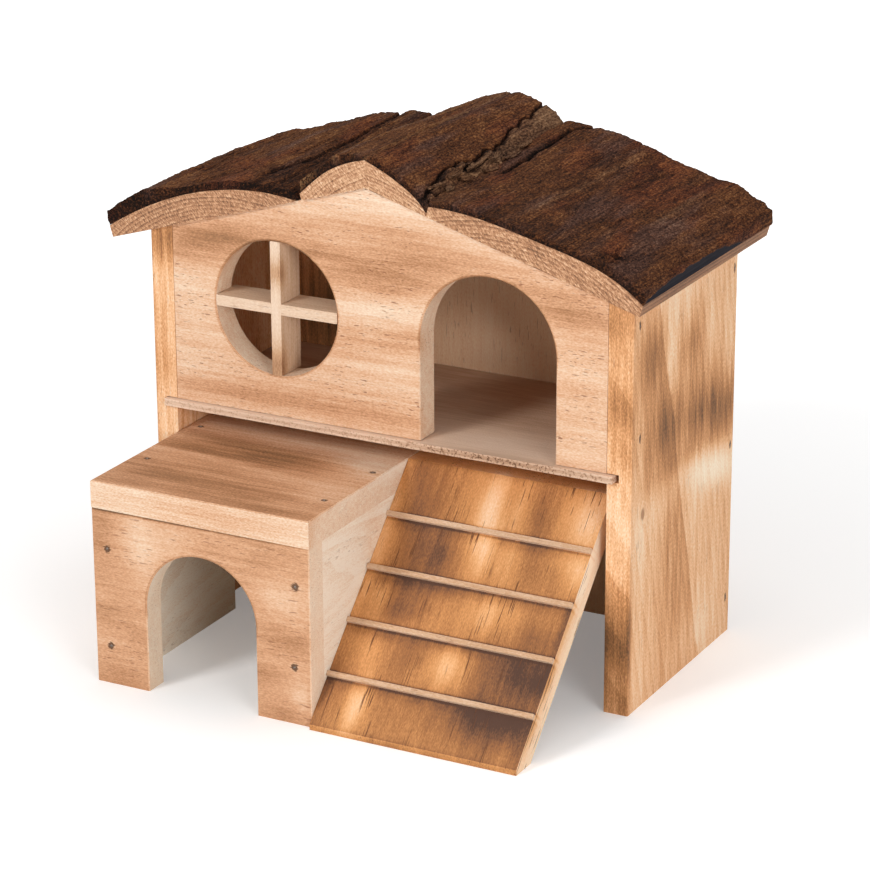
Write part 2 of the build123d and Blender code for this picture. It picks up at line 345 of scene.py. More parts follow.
def sawn_pine(name, along, across, through, heart, ring=2.6, raw=0.12, toast=0.12, face=None,
              marks=(), rims=(), knots=(), pits=(), tones=PALE_TONES, taper=0.03, waver=6.0,
              figure=0.05, band=None, flecks=0.7, fleck_length=3.2, fleck_level=0.66,
              fleck_tone=(138, 80, 54), lively=1.0, streaky=0.34, sawn=0.0, seed=0):
    """Pine board whose growth rings are cones round a heart line.

    A point's distance from the heart line, plus a slow waver and the stem's taper, is cut into
    rings; each ring grows darker to its end, by figure, and so does each wider band. Fibres and
    streaks are noise stretched along the grain, and flecks are short dark dashes. The face that
    the burner passed over starts from toast, the others from raw, and the marks add to it. The sum
    picks the colour. Streaky is how much the scorch follows the grain and lively how strong the
    fine grain is. Rims are burnt lines round holes, knots are brown spots, pits are small dark
    spots round sunken brads, partly painted shade of holes that the boards' shapes do not cut, and
    sawn is how rough the end grain is.
    """
    s = Finish(name, 0.62)
    house = s.house_place()
    normal = s.facing()
    grain = s.vector(s.dot(house, along), s.dot(house, across), s.dot(house, through))
    offset = seed * 17.3

    drift = s.noise(grain, (1 / 70, 1 / 16, 1 / 16), offset)
    streak = s.noise(grain, (1 / 70, 1 / 2.2, 1 / 2.2), offset + 5, detail=4)
    fibre = s.noise(grain, (1 / 12, 1 / 0.55, 1 / 0.55), offset + 9, detail=3, roughness=0.6)
    grit = s.noise(grain, (1 / 1.1, 1 / 0.45, 1 / 0.45), offset + 31, detail=1)
    from_heart = s.length(s.stretch(grain, (0, 1, 1), (0, -heart[0], -heart[1])))
    radius = s.total(from_heart, (drift, waver), (s.dot(house, along), taper))
    for place, reach in knots:
        radius = s.total(radius, (soft_spot(s, house, place, (reach, reach, reach * 1.8)), 9.0))
    turns = s.times(radius, 1 / ring)
    late = s.step(s.math("FRACT", turns), 0.15, 0.95)
    year = s.node("TexWhiteNoise", {"W": s.math("FLOOR", turns)}, noise_dimensions="1D")
    late = s.times(late, s.total(0.45, (year, 0.55)))

    burn = raw
    if face is not None:
        burn = s.step(s.dot(normal, face), 0.5, 0.9, raw, toast)
    for mark in marks:
        spot = soft_spot(s, house, mark.place, mark.reach, mark.turn)
        burn = s.total(burn, (spot, mark.depth))
    blotch = s.noise(grain, (1 / 26, 1 / 9, 1 / 9), offset + 3, detail=3)
    burn = s.times(burn, s.total(0.77 - streaky / 2, (streak, streaky), (blotch, 0.46)))
    for x, z, size in rims:
        burn = s.add(burn, rim_line(s, house, normal, x, z, size))

    if band is not None:
        ragged = s.total(radius, (s.add(streak, -0.5), 7.0))
        burn = s.total(burn, (s.math("FRACT", s.times(ragged, 1 / band)), 0.14))
    end = s.step(s.math("ABSOLUTE", s.dot(normal, along)), 0.6, 0.9)
    burn = s.total(burn, (late, figure), (end, 0.05))
    burn = s.total(burn, (s.add(fibre, -0.5), 0.26 * lively), (s.add(streak, -0.5), 0.16 * lively),
                   (s.add(grit, -0.5), 0.17 + 0.25 * lively))
    if sawn:
        cut = s.vector(s.dot(house, (0.7, 0, -0.7)), s.dot(house, (0.7, 0, 0.7)), 0.0)
        teeth = s.noise(cut, (1 / 1.6, 1 / 0.5, 1), offset + 41, detail=2, roughness=0.7)
        rough = s.total(-0.82, (s.math("POWER", late, 2.0), 0.14), (teeth, 1.6))
        burn = s.total(burn, (s.times(end, rough), sawn))
    colour = s.ramp(s.math("MAXIMUM", burn, 0.0), tones)

    dashes = s.noise(grain, (1 / fleck_length, 1 / 0.55, 1 / 0.55), offset + 13, detail=1)
    groups = s.noise(grain, (1 / 24, 1 / 9, 1 / 9), offset + 21)
    dash = s.times(s.step(dashes, fleck_level, fleck_level + 0.04), s.step(groups, 0.45, 0.58))
    colour = s.mix(s.times(dash, flecks), colour, fleck_tone)
    for place, reach in knots:
        core = soft_spot(s, house, place, (reach, reach, reach * 1.5))
        colour = s.mix(s.step(core, 0.3, 0.8, 0.0, 0.75), colour, (150, 98, 60))
    # partly painted shade: each pit darkens the wood round a sunken brad, in the place of a hole
    # that the board's shape does not cut
    for place, reach in pits:
        core = s.total(soft_spot(s, house, place, reach), (s.add(grit, -0.5), 0.9))
        colour = s.mix(s.step(core, 0.3, 0.6, 0.0, 0.9), colour, (88, 60, 42))
    s.bump(s.total(s.times(dash, -1.0), (fibre, 0.7), (late, 0.4), (grit, 0.5)), 0.12)
    return s.paint(colour)


def soft_spot(s, place, middle, reach, turn=(0, 0, 0)):
    """1 in the middle and falling off as exp(-d squared), with d in units of the reach."""
    inputs = {"Vector": place, "Location": middle, "Scale": reach,
              "Rotation": tuple(math.radians(v) for v in turn)}
    local = s.node("Mapping", inputs, vector_type="TEXTURE")
    inputs = {0: local, 1: local}
    squared = s.node("VectorMath", inputs, output="Value", operation="DOT_PRODUCT")
    return s.math("POWER", math.exp(-1), squared)


def rim_line(s, place, normal, x, z, size):
    """Brown line that the burner leaves along the edge of a round hole."""
    away = s.length(s.stretch(place, (1, 0, 1), (-x, 0, -z)))
    line = s.times(s.step(away, size, size + 1.1, 0.34, 0.0), s.step(away, size - 0.7, size - 0.5))
    return s.times(line, s.step(s.dot(normal, -ALONG_Y), 0.5, 0.8))


CORE = (90.8, 92.0)     # lower and upper side of the loose floor's middle layer


def plywood(name):
    """Thin plywood: greyish faces with a faint grain along X, and pale and brown layers that show
    on the edges. Deeper in the room the face is darkened as painted shade."""
    s = Finish(name, 0.75)
    house = s.house_place()
    normal = s.facing()
    fibre = s.noise(house, (1 / 14, 1 / 0.6, 1 / 0.6), 3, detail=3, roughness=0.6)
    streak = s.noise(house, (1 / 60, 1 / 4, 1 / 4), 7)
    height = s.dot(house, ALONG_Z)
    core = s.times(s.step(height, CORE[0] - 0.1, CORE[0] + 0.1),
                   s.step(height, CORE[1] - 0.1, CORE[1] + 0.1, 1.0, 0.0))
    edge = s.step(s.math("ABSOLUTE", s.dot(normal, ALONG_Z)), 0.3, 0.7, 1.0, 0.0)
    pores = s.noise(house, (1 / 0.8, 1 / 0.8, 1 / 0.8), 11, detail=2)
    speckle = s.step(pores, 0.5, 0.68)
    toast = soft_spot(s, house, (48, -2, 91), (42, 5, 4))
    # painted shade: the face darkens from 8 to 40 mm behind the front, deeper in the room
    inside = s.step(s.dot(house, ALONG_Y), 8.0, 40.0)
    value = s.total(0.19, (s.add(fibre, -0.5), 0.4), (s.add(streak, -0.5), 0.14), (toast, 0.26))
    value = s.total(value, (s.times(core, edge), 0.12), (s.times(speckle, edge), 0.16),
                    (edge, 0.07))
    value = s.total(value, (s.times(s.times(speckle, edge), toast), 0.3), (inside, 0.3))
    s.bump(s.total(fibre, (speckle, -0.5)), 0.1)
    return s.paint(s.ramp(s.math("MAXIMUM", value, 0.0), PLY_TONES))


# Each row is a mark: its place, its reach, its depth and, where it is turned, its tilt.
FRONT_PANEL_MARKS = [on_front(*row) for row in [     # x, z, half_x, half_z, depth, tilt
    (0, 183, 40, 8, -0.12), (-66, 150, 24, 6, 0.1), (4, 148, 20, 5, 0.1),
    (-74, 160, 24, 7, 0.24, 14), (52, 168, 55, 5, -0.09, -16.7), (-58, 160, 34, 6, 0.12, 10),
    (4, 170, 40, 5, 0.1), (-5, 157, 50, 8, 0.24, 2), (56, 157, 38, 8, 0.14, -10),
    (-86, 138, 22, 6, -0.08), (0, 140, 30, 6, -0.16, 6), (0, 129, 34, 6, 0.14, 5),
    (-84, 128, 12, 6, -0.04), (-6, 116, 28, 5, -0.04), (-84, 109, 20, 6, -0.08),
    (-45, 102, 58, 6, 0.16), (6, 98, 30, 6, 0.1), (80, 150, 18, 9, 0.19), (80, 129, 18, 5, -0.06),
    (82, 120, 12, 5, 0.08),
]]
RIGHT_WALL_MARKS = [on_side(*row) for row in [     # y, z, half_y, half_z, depth, tilt
    (14, 131, 12, 13, 0.2), (22, 135, 7, 11, 0.14), (50, 129, 9, 10, 0.24),
    (36, 103, 18, 13, 0.28), (62, 99, 13, 10, 0.24), (84, 94, 15, 11, 0.34),
    (91, 124, 12, 22, -0.16), (48, 103, 46, 20, 0.16), (46, 86, 28, 5, 0.12),
    (26, 74, 12, 7, -0.1), (40, 58, 10, 22, 0.14), (42, 30, 16, 18, 0.1), (48, 152, 34, 8, -0.1),
    (74, 73, 28, 8, -0.34, -12), (33, 127, 3.5, 15, -0.12), (70, 130, 5, 10, -0.1),
    (9, 66, 8, 14, -0.16), (62, 12, 16, 12, -0.1),
]] + [on_edge(1, *row, y=-2) for row in [     # z, half_z, depth
    (150, 8, 0.26), (134, 6, 0.04), (118, 8, 0.26), (101, 7, 0.12), (60, 16, 0.06),
    (78, 16, -0.1), (28, 18, 0.56), (26, 9, 0.16), (4, 8, 0.24),
]]
LEFT_WALL_MARKS = [on_edge(-1, *row) for row in [
    (157, 7, 0.36), (149, 5, 0.14), (128, 12, 0.06), (106, 9, 0.14),
]] + [on_side(*row, x=-WALL_FACE) for row in [
    (16, 120, 18, 18, 0.24), (70, 132, 24, 12, 0.22), (48, 96, 30, 14, 0.22),
    (80, 60, 12, 18, 0.26), (22, 44, 20, 20, 0.22), (55, 70, 18, 8, -0.2), (60, 20, 22, 10, 0.2),
]]
BACK_MARKS = [on_front(*row, y=BACK_FACE) for row in [
    (-40, 130, 50, 14, 0.2), (50, 118, 40, 18, 0.22), (-60, 60, 36, 20, 0.2),
    (20, 46, 50, 18, 0.22), (0, 90, 60, 7, -0.2), (-10, 12, 60, 8, 0.2),
]] + [on_front(-68, 106, 34, 34, 0.66, y=BACK_INSIDE)]     # painted shade: the back panel's inside is darkened behind the window, where it lies in shade
TUNNEL_FRONT_MARKS = [on_front(*row, y=TUNNEL_FACE) for row in [
    (-87, 57, 5, 9, 0.14), (-88, 67, 8, 4, 0.06), (-69, 59, 7, 15, -0.22, 8),
    (-55, 61, 10, 7, -0.13), (-40, 63, 20, 5, 0.04), (-14, 63, 14, 6, 0.06),
    (-9, 47, 10, 6, -0.14), (-8, 32, 12, 5, 0.1), (-17, 17, 8, 5, 0.18), (-2, 11, 4, 8, -0.12),
    (-56, 69.3, 48, 0.6, 0.55), (-8, 0, 16, 5, 0.16), (-78, 0, 14, 9, 0.16),
    (-78, 30, 12, 7, 0.06),
]]
TUNNEL_TOP_MARKS = [on_front(*row, y=TUNNEL_FACE) for row in [
    (-70, 76, 14, 6, -0.08), (-48, 75, 60, 9, 0.24),
]] + [on_top(*row) for row in [     # x, y, half_x, half_y, depth, tilt
    # painted light: the first row makes the back of the top paler where the upper floor's lip
    # shades it; the pale spot at (-6, -2) is partly pale wood and partly the same painted light
    (-45, 14, 60, 10, -0.2), (-66, -5, 24, 8, 0.14), (-42, -8, 30, 9, 0.24),
    (-72, -15, 24, 4, 0.2), (-60, -22, 30, 3, -0.1, -6), (-38, -21, 20, 4, 0.08),
    (-62, -32, 34, 7, 0.12, -3), (-38, -44, 32, 8, 0.13, -4), (-50, -53, 22, 4, 0.14),
    (-72, -45, 20, 5, 0.2), (-12, -57, 18, 4, 0.16), (-6, -2, 18, 16, -0.26),
    (-6, -36, 14, 9, -0.12), (-86, -56, 12, 7, 0.02),
]]
BATTENS = [20.2, 42.05, 63.9, 85.75]      # along the ramp, up from the toe
BATTEN_EDGES = (-1.4, 1.3)     # dark lines below and above a batten's middle, in the creases where it meets the ramp: painted shade, partly scorch
TOE_MARK = Mark((46, -64.5, 0), (70, 2.2, 2.6), 0.3, (0, 0, 0))
RAMP_MARKS = [on_ramp(46, along - 2.6, 60, 2.2, 0.12) for along in BATTENS] + [
    on_ramp(46, along + edge, 60, 0.6, 0.34) for along in BATTENS for edge in BATTEN_EDGES] + [
    on_ramp(24, 39, 26, 3.5, 0.05), on_ramp(20, 60.5, 26, 3.5, 0.08), TOE_MARK] + [
    on_ramp(*row) for row in [     # x, along, half_x, half_along, depth
    (6, 104, 6, 9, 0.1), (22, 98, 9, 10, 0.08), (42, 96, 5, 18, -0.42), (53, 98, 4, 14, -0.14),
    (62, 97, 6, 12, 0.06), (82, 97, 9, 14, -0.38), (3, 90, 3, 30, -0.16), (5, 64, 4.5, 26, -0.18),
    (33, 94, 7, 16, -0.1), (14, 88, 7, 9, 0.1), (79, 80, 6, 6, -0.1), (24, 69, 11, 9, 0.11),
    (58, 73, 7, 13, -0.15), (38, 48, 7, 11, -0.1), (20, 49, 13, 4, 0.1), (64, 56, 5, 8, -0.1),
    (80, 49, 11, 5, 0.13), (72, 25, 13, 4, 0.1), (70, 8, 15, 6, 0.14), (26, 76, 9, 9, 0.2),
    (46, 78, 4, 12, -0.26), (66, 74, 14, 8, 0.06), (86, 76, 6, 8, -0.26), (24, 55, 11, 8, 0.16),
    (12, 52, 4, 9, -0.22), (54, 54, 6, 8, -0.24), (88, 58, 4, 9, 0.3), (48, 33, 6, 9, -0.28),
    (14, 33, 6, 8, -0.16), (32, 35, 6, 8, 0.14), (77, 34, 15, 8, 0.4), (87, 38, 4, 14, 0.14),
    (18, 11, 4.5, 12, -0.36), (3, 14, 4, 10, 0.16), (72, 16, 22, 6, 0.36), (46, 12, 14, 8, 0.04),
    (88, 8, 5, 9, 0.12),
]]

# Sunken brads: their places on each face, and their holes, each with its reach
TUNNEL_BRADS = [(-83.7, 54.0), (-83.5, 15.2), (-3.4, 53.9), (-4.4, 22.3)]       # x, z
TUNNEL_TOP_BRADS = [(-85.0, 7.5), (-83.9, -32.1), (-1.7, -6.6), (-3.3, -40.0)]  # x, y
WALL_BRADS = [(5.5, 148.3), (6.9, 105.7), (89.7, 147.1), (89.8, 77.0), (89.0, 14.7)]   # y, z
TUNNEL_FRONT_PITS = [((x, TUNNEL_FACE, z), (1.6, 2, 1.6)) for x, z in TUNNEL_BRADS]
TUNNEL_TOP_PITS = [((x, y, TUNNEL_ROOF), (1.5, 1.2, 2)) for x, y in TUNNEL_TOP_BRADS]
RIGHT_WALL_PITS = [((WALL_FACE, y, z), (2, 0.8, 2.0)) for y, z in WALL_BRADS]
LEFT_WALL_PITS = [((-WALL_FACE, y, z), (2, 0.8, 2.0)) for y, z in WALL_BRADS]


def put(name, material):
    """Gives a node of the frame its finished material."""
    mesh = nodes[name].data
    mesh.materials.clear()
    mesh.materials.append(material)


def finish_the_boards():
    """Gives every wooden node its own board: grain, rings, heart side and scorch."""
    upright = dict(along=ALONG_Z, across=ALONG_Y, through=ALONG_X)
    level = dict(along=ALONG_X, across=ALONG_Z, through=ALONG_Y)
    put("right_wall", sawn_pine(
        "right_wall_pine", **upright, heart=(-60, 74), ring=5.0, band=65.0, toast=0.3,
        face=ALONG_X, marks=RIGHT_WALL_MARKS, knots=[((WALL_FACE, 10.3, 75.7), 1.9)],
        pits=RIGHT_WALL_PITS, taper=0.266, figure=0.09, flecks=0.4, fleck_length=7, streaky=0.6,
        lively=1.3, tones=WALL_TONES, raw=0.34, seed=1))
    put("left_wall", sawn_pine(
        "left_wall_pine", **upright, heart=(55, -130), ring=2.6, toast=0.34, face=-ALONG_X,
        marks=LEFT_WALL_MARKS, pits=LEFT_WALL_PITS, taper=0.08, flecks=0.4, fleck_length=7,
        streaky=0.9, lively=1.3, tones=WALL_TONES, raw=0.36, seed=2))
    put("back_panel", sawn_pine(
        "back_panel_pine", along=ALONG_Z, across=ALONG_X, through=ALONG_Y, heart=(-20, 140),
        ring=3.4, toast=0.3, face=ALONG_Y, marks=BACK_MARKS, taper=0.05, flecks=0.4,
        fleck_length=6, streaky=0.7, tones=BACK_TONES, raw=0.12, seed=3))
    put("front_panel", sawn_pine(
        "front_panel_pine", **level, heart=(136, 46), ring=2.7, raw=0.2, toast=0.37,
        face=-ALONG_Y, marks=FRONT_PANEL_MARKS, rims=[WINDOW, DOORWAY], seed=4))
    put("tunnel_front", sawn_pine(
        "tunnel_front_pine", **level, heart=(20, -24), ring=2.2, toast=0.52, face=-ALONG_Y,
        marks=TUNNEL_FRONT_MARKS, rims=[TUNNEL_ARCH], pits=TUNNEL_FRONT_PITS, figure=0.03,
        flecks=0.5, fleck_length=5, lively=0.75, streaky=0.16, seed=5))
    put("tunnel_top", sawn_pine(
        "tunnel_top_pine", along=ALONG_X, across=ALONG_Y, through=ALONG_Z, heart=(-10, 40),
        ring=2.4, toast=0.52, face=ALONG_Z, marks=TUNNEL_TOP_MARKS, pits=TUNNEL_TOP_PITS,
        flecks=0.3, lively=1.5, raw=0.16, seed=6))
    for name, outside, toast, seed in (("tunnel_left_side", -ALONG_X, 0.3, 7),
                                       ("tunnel_right_side", ALONG_X, 0.0, 8)):
        put(name, sawn_pine(
            name + "_pine", along=ALONG_Y, across=ALONG_Z, through=ALONG_X, heart=(50, 30),
            ring=3.0, raw=0.02, face=outside, toast=toast,
            marks=[on_side(-12, 58, 7, 16, 0.16, 40, x=2.5)], figure=0.12, flecks=0.3, taper=0.1,
            seed=seed))
    put("ramp_board", sawn_pine(
        "ramp_pine", along=UP_THE_RAMP, across=ALONG_X, through=OFF_THE_RAMP, heart=(52, -70),
        ring=2.8, toast=0.62, face=OFF_THE_RAMP, marks=RAMP_MARKS, tones=AMBER_TONES,
        figure=0.03, fleck_length=16, fleck_level=0.64, flecks=0.95, fleck_tone=(106, 64, 38),
        lively=0.5, streaky=0.18, raw=0.08, seed=9))
    for number in range(1, 5):
        put(f"ramp_batten_{number}", sawn_pine(
            f"batten_{number}_pine", along=ALONG_X, across=UP_THE_RAMP, through=OFF_THE_RAMP,
            heart=(0, -20), ring=1.6, raw=0.34, face=OFF_THE_RAMP, toast=0.5,
            tones=CREAM_TONES, flecks=0.3, seed=9 + number))
    put("window_strip_upright", sawn_pine(
        "strip_upright_pine", along=ALONG_Z, across=ALONG_X, through=ALONG_Y, heart=(-60, 30),
        ring=1.8, raw=0.38, face=-ALONG_Y, toast=0.2, tones=CREAM_TONES, flecks=0.2, seed=14,
        marks=[on_front(-45, 112, 8, 9, 0.62), on_front(-45, 149, 8, 5, 0.4)]))
    put("window_strip_level", sawn_pine(
        "strip_level_pine", **level, heart=(150, 30), ring=1.8, raw=0.34, face=-ALONG_Y,
        toast=0.26, tones=CREAM_TONES, flecks=0.2, seed=15))
    slabs = [     # node, finish, heart, ring, raw, face, toast
        ("slab_left", "slab_left_pine", (-62, 100), 1.5, 0.52, -ALONG_X, 0.6),
        ("ridge_slab_left", "ridge_left_pine", (26, 120), 1.25, 0.4, None, 0.0),
        ("ridge_slab_right", "ridge_right_pine", (-20, 120), 1.25, 0.4, None, 0.0),
        ("slab_right", "slab_right_pine", (44, 90), 1.55, 0.5, ALONG_X, 0.8),
    ]
    for seed, (node, finish, heart, ring, raw, face, toast) in enumerate(slabs, 16):
        put(node, sawn_pine(
            finish, along=ALONG_Y, across=ALONG_X, through=ALONG_Z, heart=heart, ring=ring,
            raw=raw, face=face, toast=toast, tones=END_TONES, taper=0.01, waver=1.5, flecks=0.1,
            sawn=1.0, figure=0.22, seed=seed))
    put("upper_floor", plywood("floor_plywood"))


finish_the_boards()


# ---- bark --------------------------------------------------------------------------------
CREASE = math.radians(50)     # faces that meet more sharply keep their edge
THINNEST = 0.4     # bark that is left over the wood where a furrow is deepest
MARGIN = 0.05      # the rough bark stays this far inside the frame's box


def cloud(u, v, seed):
    """Smooth heights between -1 and 1: random values on a whole-number lattice, blended between
    neighbours by 3t^2 - 2t^3 both ways."""
    table = np.random.default_rng(seed).uniform(-1, 1, (512, 512))
    i, j = np.floor(u).astype(int), np.floor(v).astype(int)
    s, t = u - i, v - j
    s, t = s * s * (3 - 2 * s), t * t * (3 - 2 * t)
    low = table[i % 512, j % 512] * (1 - s) + table[(i + 1) % 512, j % 512] * s
    high = table[i % 512, (j + 1) % 512] * (1 - s) + table[(i + 1) % 512, (j + 1) % 512] * s
    return low * (1 - t) + high * t


def clouds(u, v, seed, octaves=4):
    """Sum of ever finer and lower heights."""
    return sum(cloud(u * 2 ** k, v * 2 ** k, seed + k) / 2 ** k for k in range(octaves))


def ease(value, low, high):
    """Smooth step from 0 to 1 between two levels."""
    t = np.clip((value - low) / (high - low), 0, 1)
    return t * t * (3 - 2 * t)


def bark_relief(x, y, seed, coarse=1.0):
    """Height of the bark's outside against its crests, in mm, at places on the roof.

    Long plates rise and sink across the slab and hardly change along it. Furrows are narrow
    valleys where a wandering cloud passes through zero. Flakes and scales are clouds rounded to
    steps, so that they have sharp edges, and crumbs are fine noise on top.
    """
    across = x + 3.0 * clouds(x / 40, y / 42, seed, 2)
    plates = clouds(across / 9, y / 75, seed + 10, 2)
    valley = np.abs(clouds(across / 6.5, y / 60, seed + 20, 3))
    open_part = ease(clouds(across / 14, y / 30, seed + 30, 2), -0.2, 0.5)
    furrow = -np.exp(-(valley / 0.06) ** 2) * open_part
    flakes = np.round(clouds(across / 5, y / 12, seed + 40, 3) * 2.4) / 2.4
    scales = np.round(clouds(across / 2.2, y / 5, seed + 45, 2) * 2) / 2
    crumbs = clouds(across / 1.0, y / 1.8, seed + 50, 2)
    return (coarse * (0.4 * plates + 0.9 * furrow) + 0.3 * flakes + 0.16 * scales
            + 0.16 * crumbs - 0.05)


def closed_loops(sections):
    """Points and faces of a closed skin through a row of closed outlines. Each outline holds its
    upper side one way and its lower side back, with as many points each, so that the two ends
    are closed by strips between the sides."""
    rows, count, _ = sections.shape
    row, column = np.meshgrid(np.arange(rows - 1), np.arange(count), indexing="ij")
    here, there = row * count + column, row * count + (column + 1) % count
    sides = np.stack([here, there, there + count, here + count], -1).reshape(-1, 4)
    k = np.arange(count // 2 - 1)
    cap = np.stack([k, count - 1 - k, count - 2 - k, k + 1], -1)
    far_cap = cap[:, ::-1] + (rows - 1) * count
    return sections.reshape(-1, 3), np.concatenate([sides, cap, far_cap])


def new_piece(name, points, faces, material, slot=None, **attributes):
    """Piece of the house body from points in millimetres on the house and four-cornered faces.
    The faces are turned over where they enclose a negative volume."""
    points = (points + (SHIFT, FRONT, 0)) / 1000
    a, b, c, d = (points[faces[:, k]] for k in range(4))
    volume = np.sum(np.cross(a, b) * c) + np.sum(np.cross(a, c) * d)
    if volume < 0:
        faces = faces[:, ::-1]
    mesh = bpy.data.meshes.new(name)
    mesh.vertices.add(len(points))
    mesh.vertices.foreach_set("co", points.ravel())
    mesh.loops.add(faces.size)
    mesh.loops.foreach_set("vertex_index", faces.ravel().astype(np.int32))
    mesh.polygons.add(len(faces))
    mesh.polygons.foreach_set("loop_start", np.arange(0, faces.size, 4, dtype=np.int32))
    mesh.update(calc_edges=True)
    mesh.validate()
    mesh.polygons.foreach_set("use_smooth", np.ones(len(mesh.polygons), bool))
    mesh.set_sharp_from_angle(angle=CREASE)
    for key, values in attributes.items():
        layer = mesh.attributes.new(key, "FLOAT", "POINT")
        layer.data.foreach_set("value", values.ravel().astype(np.float32))
    piece = bpy.data.objects.new(name, mesh)
    bpy.context.scene.collection.objects.link(piece)
    mesh.materials.append(material)
    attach(piece, "house")
    return piece


def tree_of(mesh):
    """Search tree that finds where a ray meets a mesh."""
    return BVHTree.FromPolygons([v.co for v in mesh.vertices],
                                [p.vertices[:] for p in mesh.polygons])


def skin_heights(name, xs):
    """Upper and lower side of a bark node at each x, in millimetres on the house."""
    tree = tree_of(nodes[name].data)
    middle = (FRONT + 40) / 1000
    down, up = Vector((0, 0, -1)), Vector((0, 0, 1))
    top = [tree.ray_cast(Vector(((x + SHIFT) / 1000, middle, 1)), down)[0].z for x in xs]
    low = [tree.ray_cast(Vector(((x + SHIFT) / 1000, middle, 0)), up)[0].z for x in xs]
    return np.array(top) * 1000, np.array(low) * 1000


def crest_line(xs, top, low):
    """The bark's crests: its thickness is widened to the greatest within 4 mm and evened out,
    away from its two edges."""
    thick = top - low
    near = np.abs(xs[:, None] - xs[None, :])
    widest = np.max(np.where(near < 4, thick[None, :], 0), 1)
    weights = np.exp(-(near / 2.2) ** 2)
    widest = weights @ widest / weights.sum(1)
    edge = np.minimum(xs - xs[0], xs[-1] - xs)
    return top + np.maximum(widest - thick, 0) * ease(edge, 0, 5)


def spread(path, count):
    """Points at equal steps along a path, and how far along each one lies."""
    gone = np.concatenate([[0], np.cumsum(np.hypot(*np.diff(path, axis=0).T))])
    at = np.linspace(0, gone[-1], count)
    return np.stack([np.interp(at, gone, path[:, k]) for k in (0, 1)], -1), at


def bark_section(name, count):
    """Outline of the bark over a slab, from one lower corner up its edge, over the crests and
    down to the other, with its outward normals, and the seat below it.

    At an eave the bark overhangs the wood, so its edge is the stretch where the underside rises
    more steeply than 2.5 to 1.
    """
    low_corner, high_corner = (np.array(v) * 1000 - (SHIFT, FRONT, 0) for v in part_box(name))
    xs = np.linspace(low_corner[0] + 0.03, high_corner[0] - 0.03, 400)
    top, low = skin_heights(name, xs)
    rise = np.gradient(low, xs)
    first = int(np.argmax(rise > -2.5))
    last = len(xs) - 1 - int(np.argmax(rise[::-1] < 2.5))
    over = np.stack([xs, crest_line(xs, top, low)], -1)
    under = np.stack([xs, low], -1)
    path = np.concatenate([under[:first + 1][::-1], over, under[last:][::-1]])
    outline, at = spread(path, count)
    way = np.gradient(outline, axis=0)
    normal = np.stack([-way[:, 1], way[:, 0]], -1)
    weights = np.exp(-((at[:, None] - at[None, :]) / 1.2) ** 2)
    normal = weights @ normal
    normal /= np.linalg.norm(normal, axis=1, keepdims=True)
    seat, _ = spread(under[first:last + 1], count)
    return outline, normal, at, seat, (low_corner[1], high_corner[1])


def make_bark(name, seed, across, shape, along=300, coarse=1.0, front_shade=0.3, hang=0.0,
              pale=0.0):
    """Rough bark over one slab, in the place of its plain node.

    Both sides follow the node's own section. The outside is moved along its normal by the
    relief and the lift that shape gives for this slab, and keeps its least thickness over the
    wood. Its torn right edge hangs over by up to the length hang. The finish reads the tints and
    the relief, which is raised by pale and lowered on the front end.
    """
    outline, normal, at, seat, (front, back) = bark_section(name, across)
    s, y = np.meshgrid(at, np.linspace(front, back, along))
    x, z = (np.broadcast_to(outline[:, k], s.shape) for k in (0, 1))
    tints = dict(bare=s * 0, grey=s * 0, tan=s * 0)
    relief, lift = shape(x, y, at[-1] - s, bark_relief(s + outline[0, 0], y, seed, coarse), tints)
    move = (relief + lift) * ease(np.minimum(s, at[-1] - s), 0, 1.5)
    out_x, out_z = x + normal[:, 0] * move, z + normal[:, 1] * move
    least = np.interp(out_x, seat[:, 0], seat[:, 1]) + THINNEST
    out_z = np.where(normal[:, 1] > 0.6, np.maximum(out_z, least), out_z)
    torn = 0.85 + 0.15 * clouds(y / 5, y * 0, seed + 70, 3)
    out_x = out_x + hang * torn * ease(s, at[-1] - 5, at[-1])
    lowest, highest = (np.array(v) * 1000 - (SHIFT, FRONT, 0) for v in cad_box)
    out_x = np.clip(out_x, lowest[0] + MARGIN, highest[0] - MARGIN)
    out_z = np.minimum(out_z, highest[2] - MARGIN)
    ragged = np.clip(0.5 + 0.5 * clouds(s / 3, s * 0 + seed, seed + 60, 3), 0, 1)
    out_y = y + (ease(y, back - 3, back) * -1.3 + ease(-y, -front - 3, -front) * 0.9) * ragged
    upper = np.stack([out_x, out_y, out_z], -1)
    lower = np.stack([np.broadcast_to(seat[:, 0], s.shape), y,
                      np.broadcast_to(seat[:, 1], s.shape)], -1)
    points, faces = closed_loops(np.concatenate([upper, lower[:, ::-1]], 1))
    values = {key: np.concatenate([value, value[:, ::-1] * 0], 1) for key, value in tints.items()}
    shade = relief + pale - front_shade * ease(-y, -front - 0.5, -front)
    values["rise"] = np.concatenate([shade, relief * 0 - 1.4], 1)
    piece = new_piece(name + "_rough", points, faces, bark_finish, "bark", **values)
    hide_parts(name)
    return piece


